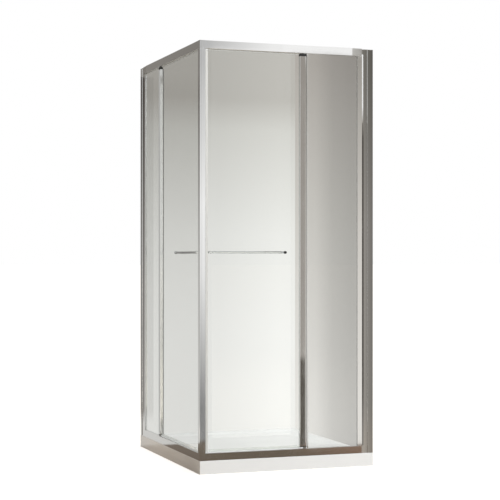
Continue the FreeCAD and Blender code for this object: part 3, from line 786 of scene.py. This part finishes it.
def soft_lip(name, low, high, height, across, steps):
    """A lip along a box, hung at a height. across is the axis through the door, outwards its low end."""
    middle = (low + high) / 2
    size = high - low
    size[across], size.z = LIP_ROOT, 1
    clear_selection()
    bpy.ops.mesh.primitive_plane_add(size=1, location=(middle.x, middle.y, height))
    lip = bpy.context.object
    lip.name = name
    lip.scale = size
    bpy.ops.object.transform_apply(location=True, rotation=False, scale=True)
    bpy.ops.object.mode_set(mode="EDIT")
    bpy.ops.mesh.select_mode(type="EDGE")
    bpy.ops.mesh.select_all(action="DESELECT")
    for edge in bmesh.from_edit_mesh(lip.data).edges:
        edge.select_set(all(v.co[across] < middle[across] for v in edge.verts))
    bmesh.update_edit_mesh(lip.data)
    for out_mm, down_mm in steps:
        step = [0, 0, -down_mm * MM]
        step[across] = -out_mm * MM
        bpy.ops.mesh.extrude_edges_move(TRANSFORM_OT_translate={"value": step})
    bpy.ops.object.mode_set(mode="OBJECT")
    modify(lip, "film", "SOLIDIFY", thickness=LIP_FILM, offset=0)
    bpy.ops.object.shade_smooth_by_angle(angle=math.radians(LIP_SMOOTH_DEG))
    return lip


print("lip film in mm:", LIP_FILM / MM)

# %% [markdown]
# The lip under a sweep is short and rides on the door. The one above it is longer, hangs from the top
# rail and stays with the frame when the door opens. Both are as long as the sweep, so its box gives
# their ends.

# %% Lips under and over the doors
SWEEP_STEPS = [(0.1, 0.5), (0.35, 0.5), (0.7, 0.4)]  # outwards and down, in mm
RAIL_STEPS = [(0.1, 1.8), (0.2, 1.8), (0.4, 1.6)]

for face, across in (("front", 1), ("side", 0)):
    low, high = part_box(face + "_door_sweep")
    sweep_lip = soft_lip(face + "_sweep_lip", low, high, low.z, across, SWEEP_STEPS)
    dress(sweep_lip, face + "_door", "clear_pvc", milky_pvc)
    rail_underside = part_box(face + "_top_rail")[0].z
    rail_lip = soft_lip(face + "_rail_lip", low, high, rail_underside, across, RAIL_STEPS)
    dress(rail_lip, "frame", "clear_pvc", milky_pvc)
    ends = [round(min(v.co.z for v in lip.data.vertices), 4) for lip in (sweep_lip, rail_lip)]
    print(face, "lips end at", ends)

# %% [markdown]
# ## Drip bead
#
# On the side door a slim bead of dark rubber runs down the inner corner of the stile and keeps drips
# off the glass. It shows as a thin dark line. It starts as a block along the stile, the side away from
# the stile is narrowed to a lip, and a bevel rounds the long edges. A bevelled curve would be quicker,
# but it would be round on the side where the bead lies flat on the stile.

# %% Drip bead
BEAD_GRIP = 2.0 * MM  # how far it reaches round the stile's corner
BEAD_DEEP = 4.0 * MM
BEAD_PROUD = 1.4 * MM
BEAD_ROUND = 0.3 * MM
BEAD_TAPER = 0.6
BEAD_SMOOTH_DEG = 40

stile_low, stile_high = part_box("side_pivot_stile")
low = Vector((stile_high.x - BEAD_GRIP, stile_low.y - BEAD_PROUD, stile_low.z))
high = Vector((stile_high.x + BEAD_DEEP, stile_low.y, stile_high.z))
bead = block("side_drip_bead", low, high)
bpy.ops.object.mode_set(mode="EDIT")
pick_faces(lambda face: face.normal.x > FACING)
bpy.ops.transform.resize(value=(1, BEAD_TAPER, 1), center_override=(low + high) / 2)
bpy.ops.object.mode_set(mode="OBJECT")
modify(bead, "soften", "BEVEL", width=BEAD_ROUND, segments=2, limit_method="ANGLE")
bpy.ops.object.shade_smooth_by_angle(angle=math.radians(BEAD_SMOOTH_DEG))
dress(bead, "side_door", "grey_rubber", dark_rubber)
print("bead faces:", len(bead.data.polygons))

# %% [markdown]
# ## The floor and the white ground
#
# The picture is cut out on white. The world is plain white to the camera, to mirrors and to glass, and
# a softer grey to everything it lights, so that pale surfaces don't burn out. The floor is pale, keeps
# the shadow that the tray throws on it, and adds just enough light of its own, for the same three kinds
# of ray, to meet the white of the world.

# %% World and floor
WHITE = (1, 1, 1, 1)
SKY_LIGHT = 0.52
FLOOR_GLOW = 0.79
FLOOR_SIDE = 400.0


def seen_directly(tree):
    """1 for rays from the camera, from a mirror or through glass, and 0 for rays that gather light."""
    path = add(tree, "LightPath").outputs
    seen = path["Is Camera Ray"]
    for ray in ("Is Glossy Ray", "Is Transmission Ray"):
        seen = add(tree, "Math", {0: seen, 1: path[ray]}, operation="MAXIMUM").outputs[0]
    return seen


world = bpy.data.worlds.new("studio")
bpy.context.scene.world = world
world.use_nodes = True
sky_tree = world.node_tree
sky = sky_tree.nodes["Background"]
sky.inputs["Color"].default_value = WHITE
sky_range = {"Value": seen_directly(sky_tree), TO_LOW: SKY_LIGHT, TO_HIGH: 1.0}
link(sky_tree, sky, Strength=add(sky_tree, "MapRange", sky_range).outputs[0])

clear_selection()
bpy.ops.mesh.primitive_plane_add(size=FLOOR_SIDE, location=(0, 0, cad_box[0].z))
floor = bpy.context.object
floor.name = "floor"
floor_constants = {"Base_Color": linear("#C7BDAF"), "Roughness": 0.9, "Emission_Color": WHITE}
floor_paint, tree, shader = new_finish("pale_floor", **floor_constants)
glow_range = {"Value": seen_directly(tree), TO_LOW: 0.0, TO_HIGH: FLOOR_GLOW}
link(tree, shader, Emission_Strength=add(tree, "MapRange", glow_range).outputs[0])
floor.data.materials.append(floor_paint)
print("floor:", FLOOR_SIDE, "m square")

# %% [markdown]
# ## Cards
#
# Clear glass on white disappears, and polished metal on white turns white. The usual answer in a studio
# is to stand cards round such a thing. Shaded cards behind the panes, paler towards the bottom, give
# the glass a tone of its own. Others are only seen in mirrors, and one warms the tray's left side as a
# bounce card does. None of them shows to the camera or throws a shadow. A card's tone is one or two
# runs of hex tones along an axis, multiplied.

# %% Tone of a card
SHARE, FIRST, SECOND, MIXED = 0, 6, 7, 2  # sockets of a Mix node for colours, the last one its output


def tone_of(tree, runs):
    """The product of the runs. A run is an axis and its stops: a place in metres and the tone there."""
    place = add(tree, "SeparateXYZ", {"Vector": add(tree, "TexCoord").outputs["Object"]})
    tone = WHITE
    for axis, stops in runs:
        start, end = stops[0][0], stops[-1][0]
        reach = {"Value": place.outputs[axis], FROM_LOW: start, FROM_HIGH: end}
        ramp = add(tree, "ValToRGB", {"Fac": add(tree, "MapRange", reach).outputs[0]})
        for at, _ in stops[1:-1]:
            ramp.color_ramp.elements.new((at - start) / (end - start))
        shade = paint(ramp, *[colour for _, colour in stops])
        product = {SHARE: 1.0, FIRST: tone, SECOND: shade}
        tone = add(tree, "Mix", product, data_type="RGBA", blend_type="MULTIPLY").outputs[MIXED]
    return tone


print("a card's tone can have any number of runs")

# %% [markdown]
# A card is one flat face with an Emission shader, so it needs no lamp and looks the same from every
# side. Blender lets an object be met by some kinds of ray and not by others, and that keeps a card out
# of the picture while the glass or the metal still shows it.

# %% Card helper
RAYS = ("camera", "diffuse", "glossy", "transmission", "shadow", "volume_scatter")
cards = []


def card(name, corners, seen_by, *runs):
    """A flat card that only the rays in seen_by meet."""
    mesh = bpy.data.meshes.new(name)
    mesh.from_pydata(corners, [], [(0, 1, 2, 3)])
    panel = bpy.data.objects.new(name, mesh)
    bpy.context.collection.objects.link(panel)
    material = bpy.data.materials.new(name + "_tone")
    material.use_nodes = True
    tree = material.node_tree
    tree.nodes.clear()
    light = add(tree, "Emission", {"Color": tone_of(tree, runs)})
    add(tree, "OutputMaterial", {"Surface": light.outputs[0]})
    mesh.materials.append(material)
    for ray in RAYS:
        setattr(panel, "visible_" + ray, ray in seen_by)
    cards.append(panel)


def upright_card(name, start, end, low, high, seen_by, *runs):
    card(name, [(*start, low), (*end, low), (*end, high), (*start, high)], seen_by, *runs)


def lying_card(name, start, end, height, seen_by, *runs):
    (x0, y0), (x1, y1) = start, end
    card(name, [(x0, y0, height), (x1, y0, height), (x1, y1, height), (x0, y1, height)], seen_by, *runs)


print("cards are made by one helper")

# %% [markdown]
# Two cards stand at right angles behind the glass, close to the two closed sides of the enclosure. The
# back one is paler towards the right, and the right one is darker towards the front, so each pane has
# its own soft gradient.

# %% Cards behind the glass
GLASS, MIRROR, MATT = "transmission", "glossy", "diffuse"
CARD_GAP = 0.01
BACK, RIGHT = cad_box[1].y + CARD_GAP, cad_box[1].x + CARD_GAP
TALL = (-0.5, 2.6)  # from well below the tray to well above the frame

back_fall = ("Z", [(0.6, "#FCFCFB"), (1.15, "#F4F4F2"), (1.75, "#D9D8D4"), (1.92, "#C0BDB8")])
back_shade = ("X", [(0.0, "#EEEEEE"), (0.36, "#FEFEFE")])
right_fall = ("Z", [(0.15, "#F0EEEC"), (1.15, "#D8D5D1"), (2.1, "#B5AFAA")])
right_stops = [(-0.25, "#CACACA"), (0.0, "#D6D6D6"), (0.25, "#F1F1F1")]
right_stops += [(0.43, "#F1F1F1"), (0.48, "#FFFFFF")]
both = [GLASS, MIRROR]
upright_card("back_card", (corner_x, BACK), (RIGHT, BACK), *TALL, both, back_fall, back_shade)
upright_card("right_card", (RIGHT, corner_y), (RIGHT, BACK), *TALL, both, right_fall, ("Y", right_stops))
print("cards so far:", len(cards))

# %% [markdown]
# The left faces of the frame mirror what stands behind them on the left. One card there carries on the
# line of the back card, a darker strip stands right beside the frame, and a narrow pale one beside the
# door gives the stile its streak. A card far to the left tones the rounded edges.

# %% Cards mirrored by the left faces
SIDE_REACH = 0.75
SIDE_HEIGHTS = (0.0, 2.7)
STRIP_WIDTH, STRIP_Y = 0.06, BACK - 2 * MM
STRIP_HEIGHTS = (0.13, 2.02)
STREAK_LEFT, STREAK_RIGHT, STREAK_Y = -0.492, -0.471, 0.30
STREAK_HEIGHTS = (0.1, 2.03)
FAR_LEFT, FAR_FRONT = corner_x - 1.75, -3.5
FAR_HEIGHTS = (0.0, 2.9)

side_fall = ("Z", [(0.1, "#D3D2CF"), (0.9, "#C4C3C0"), (1.95, "#7B7772"), (2.05, "#8A8681")])
side_shade = ("X", [(-0.85, "#F2F2F2"), (-0.5, "#FFFFFF")])
strip_fall = ("Z", [(0.13, "#CFCECB"), (0.2, "#8F8C88"), (0.9, "#807D7A"), (1.9, "#524E4B")])
streak_shade = ("X", [(-0.4785, "#B8B8B6"), (-0.4765, "#DEDEDC")])
far_fall = ("Z", [(0.0, "#767674"), (1.2, "#9A9A98"), (2.4, "#767674")])
side_ends = (corner_x - SIDE_REACH, BACK), (corner_x, BACK)
upright_card("side_card", *side_ends, *SIDE_HEIGHTS, both, side_fall, side_shade)
strip_ends = (corner_x - STRIP_WIDTH, STRIP_Y), (corner_x, STRIP_Y)
upright_card("strip_card", *strip_ends, *STRIP_HEIGHTS, [MIRROR], strip_fall)
streak_ends = (STREAK_LEFT, STREAK_Y), (STREAK_RIGHT, STREAK_Y)
upright_card("streak_card", *streak_ends, *STREAK_HEIGHTS, [MIRROR], streak_shade)
far_ends = (FAR_LEFT, FAR_FRONT), (FAR_LEFT, BACK)
upright_card("far_left_card", *far_ends, *FAR_HEIGHTS, [MIRROR], far_fall)
print("cards so far:", len(cards))

# %% [markdown]
# Chrome on pale glass hardly shows. Three small dark cards stand close round the side door's bar,
# behind, above and below it, and darken towards its far end, so that the bar reads as a grey line.

# %% Cards round the side bar
BAR_ROOM = 18 * MM  # between the middle of the bar and the cards above and below it
BAR_NEAR, BAR_FAR = -0.44, -0.01
BAR_OUTER, BAR_INNER = -0.432, -0.380

bar_shade = ("Y", [(-0.40, "#B4B2AE"), (-0.10, "#74726F")])
over, under = HANDLE_HEIGHT + BAR_ROOM, HANDLE_HEIGHT - BAR_ROOM
upright_card("bar_card", (BAR_OUTER, BAR_NEAR), (BAR_OUTER, BAR_FAR), under, over, [MIRROR], bar_shade)
for name, height in (("over_bar_card", over), ("under_bar_card", under)):
    lying_card(name, (BAR_OUTER, BAR_NEAR), (BAR_INNER, BAR_FAR), height, [MIRROR], bar_shade)
print("cards so far:", len(cards))

# %% [markdown]
# Brown cards lie low along the two open faces for the bottom rails to mirror. A low warm one stands
# beside the tray and is the only card that gives light: a white side takes its colour from what is near
# it.

# %% Low cards
LOW_LEFT, LOW_RIGHT, LOW_FRONT = -1.5, 2.0, -1.8
GROUND = 2 * MM
BOUNCE_AWAY = 0.4
BOUNCE_HEIGHTS = (0.0, 0.45)

front_shade = ("X", [(0.2, "#6B6155"), (0.6, "#846E5E")])
left_shade = ("Y", [(-0.5, "#6A6158"), (0.5, "#786E64")])
bounce_shade = ("Y", [(-0.5, "#A08F7E"), (-0.1, "#BEAA98"), (0.15, "#DCC8B4"), (0.45, "#FFEBD4")])
lying_card("low_front_card", (LOW_LEFT, LOW_FRONT), (LOW_RIGHT, corner_y), GROUND, [MIRROR], front_shade)
lying_card("low_left_card", (LOW_LEFT, corner_y), (corner_x, BACK), GROUND, [MIRROR], left_shade)
bounce_x = corner_x - BOUNCE_AWAY
bounce_ends = (bounce_x, corner_y - BOUNCE_AWAY), (bounce_x, BACK)
upright_card("bounce_card", *bounce_ends, *BOUNCE_HEIGHTS, [MATT], bounce_shade)
print("cards so far:", len(cards))

# %% [markdown]
# The front faces mirror what stands in front. A row of narrow cards there, 60 cm before the frame,
# gives each profile its own streak: the corner post pale in the middle of its height, the stile grey,
# and the top rail brighter towards the right. The last post on the right mirrors a card that stands
# against it and is darkest where it is nearest.

# %% Front cards seen in mirrors
ROW = corner_y - 0.6
LOW, HIGH = 0.03, 2.118
NEAR_FRONT = -0.70
NEAR_HEIGHTS = (0.0, 2.3)

post_stops = [(0.25, "#8F8F8F"), (0.65, "#D0D0D0"), (0.95, "#F0F0F0"), (1.3, "#FAFAFA"), (2.05, "#C5C5C5")]
stile_stops = [(0.48, "#59544D"), (0.51, "#A5A09A"), (2.1, "#9C9791")]
edge_stops = [(0.3, "#F9F7F3"), (1.2, "#E5E3DE"), (2.1, "#BDBAB5")]
bead_stops = [(0.3, "#EEEBE6"), (1.2, "#D8D4CE"), (2.1, "#A29E98")]
nose_stops = [(0.3, "#807B74"), (0.6, "#9C9790"), (2.1, "#98938D")]
rail_stops = [(-0.22, "#C2C2C2"), (0.14, "#FAFAFA")]
FRONT_CARDS = {  # left, right, bottom, top, tones
    "post_card": (-0.900, -0.190, 0.078, HIGH, ("Z", post_stops)),
    "stile_card": (0.250, 0.341, LOW, HIGH, ("Z", stile_stops)),
    "edge_card": (0.342, 0.367, LOW, HIGH, ("Z", edge_stops)),
    "bead_card": (0.368, 0.660, LOW, HIGH, ("Z", bead_stops)),
    "nose_card": (0.661, 1.400, LOW, HIGH, ("Z", nose_stops)),
    "top_rail_card": (-0.900, 0.200, HIGH + 0.001, 2.250, ("X", rail_stops)),
}
for name, (left, right, bottom, top, run) in FRONT_CARDS.items():
    upright_card(name, (left, ROW), (right, ROW), bottom, top, [MIRROR], run)
near_fall = ("Z", [(0.1, "#AAA39A"), (0.3, "#9D9993"), (1.2, "#999590"), (2.0, "#7A7771")])
near_shade = ("Y", [(-0.67, "#FFFFFF"), (-0.58, "#D0D0D0")])
near_ends = (RIGHT, NEAR_FRONT), (RIGHT, corner_y)
upright_card("near_right_card", *near_ends, *NEAR_HEIGHTS, [MIRROR], near_fall, near_shade)
print("cards so far:", len(cards))

# %% [markdown]
# Two slim cards right before the edge of that post are mirrored by it. They paint a dark reflection
# along its joint with the glazing bead, a dark line that ends in a painted highlight near the top.

# %% Cards that paint a reflected line on the post's edge
LINE_CARD_Y = corner_y - 0.022
LINE_CARD_LEFT, DARK_RIGHT, BRIGHT_RIGHT = 0.4020, 0.4110, 0.4082
DARK_HEIGHTS, BRIGHT_HEIGHTS = (0.1, 1.70), (1.701, 2.04)

dark_fall = ("Z", [(0.15, "#A09B95"), (0.4, "#68635E"), (1.62, "#68635E"), (1.70, "#A09B95")])
dark_shade = ("X", [(0.4070, "#C8C8C8"), (0.4110, "#FFFFFF")])
bright_fall = ("Z", [(1.70, "#A09B95"), (1.78, "#FFFFFF")])
dark_ends = (LINE_CARD_LEFT, LINE_CARD_Y), (DARK_RIGHT, LINE_CARD_Y)
bright_ends = (LINE_CARD_LEFT, LINE_CARD_Y), (BRIGHT_RIGHT, LINE_CARD_Y)
# The dark card paints a dark reflection up the post's edge, and the bright one a painted highlight at its
# top.
upright_card("dark_reflection_card", *dark_ends, *DARK_HEIGHTS, [MIRROR], dark_fall, dark_shade)
upright_card("glint_card", *bright_ends, *BRIGHT_HEIGHTS, [MIRROR], bright_fall)
print("cards in all:", len(cards))

# %% [markdown]
# ## Studio light
#
# One large soft box stands in front and to the right, and the white world fills the rest. The front of
# the tray then reads white, and its left side falls into a soft shade. A smaller lamp would draw hard
# shadows of the frame on the tray.

# %% Lamps
SOFT_BOX_PLACE = (2.4, -4.0, 5.75)
SOFT_BOX_SIDE = 3.2
SOFT_BOX_WATTS = 415
AIM = Vector((0, 0, 1.0))

bpy.ops.object.light_add(type="AREA", location=SOFT_BOX_PLACE)
key = bpy.context.object
key.name = "soft_box"
key.data.shape = "RECTANGLE"
key.data.size = SOFT_BOX_SIDE
key.data.size_y = SOFT_BOX_SIDE
key.data.energy = SOFT_BOX_WATTS
key.rotation_euler = (AIM - key.location).to_track_quat("-Z", "Y").to_euler()
key.visible_glossy = False
key.visible_transmission = False
print("soft box:", key.data.energy, "W")

# %% [markdown]
# ## Finish
#
# The picture is shown with the plain Standard transform, so that a colour comes out as it was chosen.

# %% Finish
bpy.context.scene.view_settings.view_transform = "Standard"
